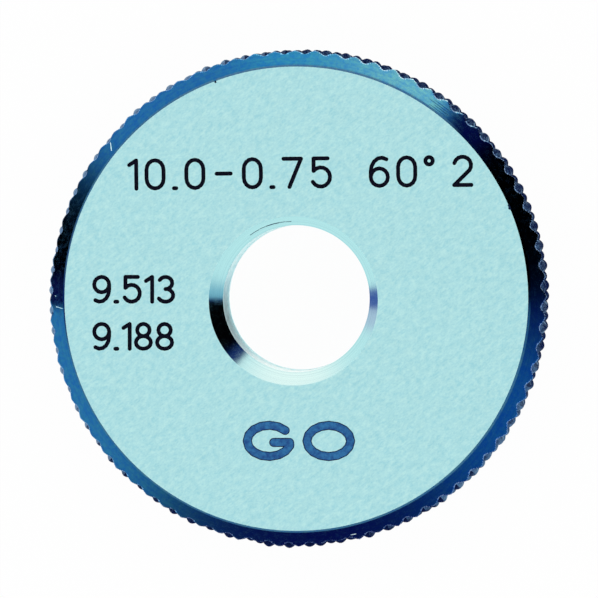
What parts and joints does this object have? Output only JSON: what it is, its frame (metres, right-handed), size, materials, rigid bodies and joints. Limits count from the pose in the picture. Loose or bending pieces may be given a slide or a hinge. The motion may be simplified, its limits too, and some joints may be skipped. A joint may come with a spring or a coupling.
{
  "type": "thread ring gauge",
  "caption": "Flat round steel ring with a diamond-knurled rim, chamfered edges and a fine internal thread through its centre, for checking an outside thread.",
  "frame": {"origin": "on the bore's axis, in the plane of the lower ground face that the ring lies on", "axes": "+Z along the bore's axis, out of the marked face; +X to the right and +Y to the top of the marking as it is read"},
  "size_m": [0.0312, 0.0312, 0.008],
  "materials": {
    "gauge_steel": "hardened tool steel, ground matt on the faces, turned on the chamfers and blued at the knurled rim"
  },
  "bodies": {
    "root": {"gauge_ring": "gauge_steel"}
  },
  "joints": []
}
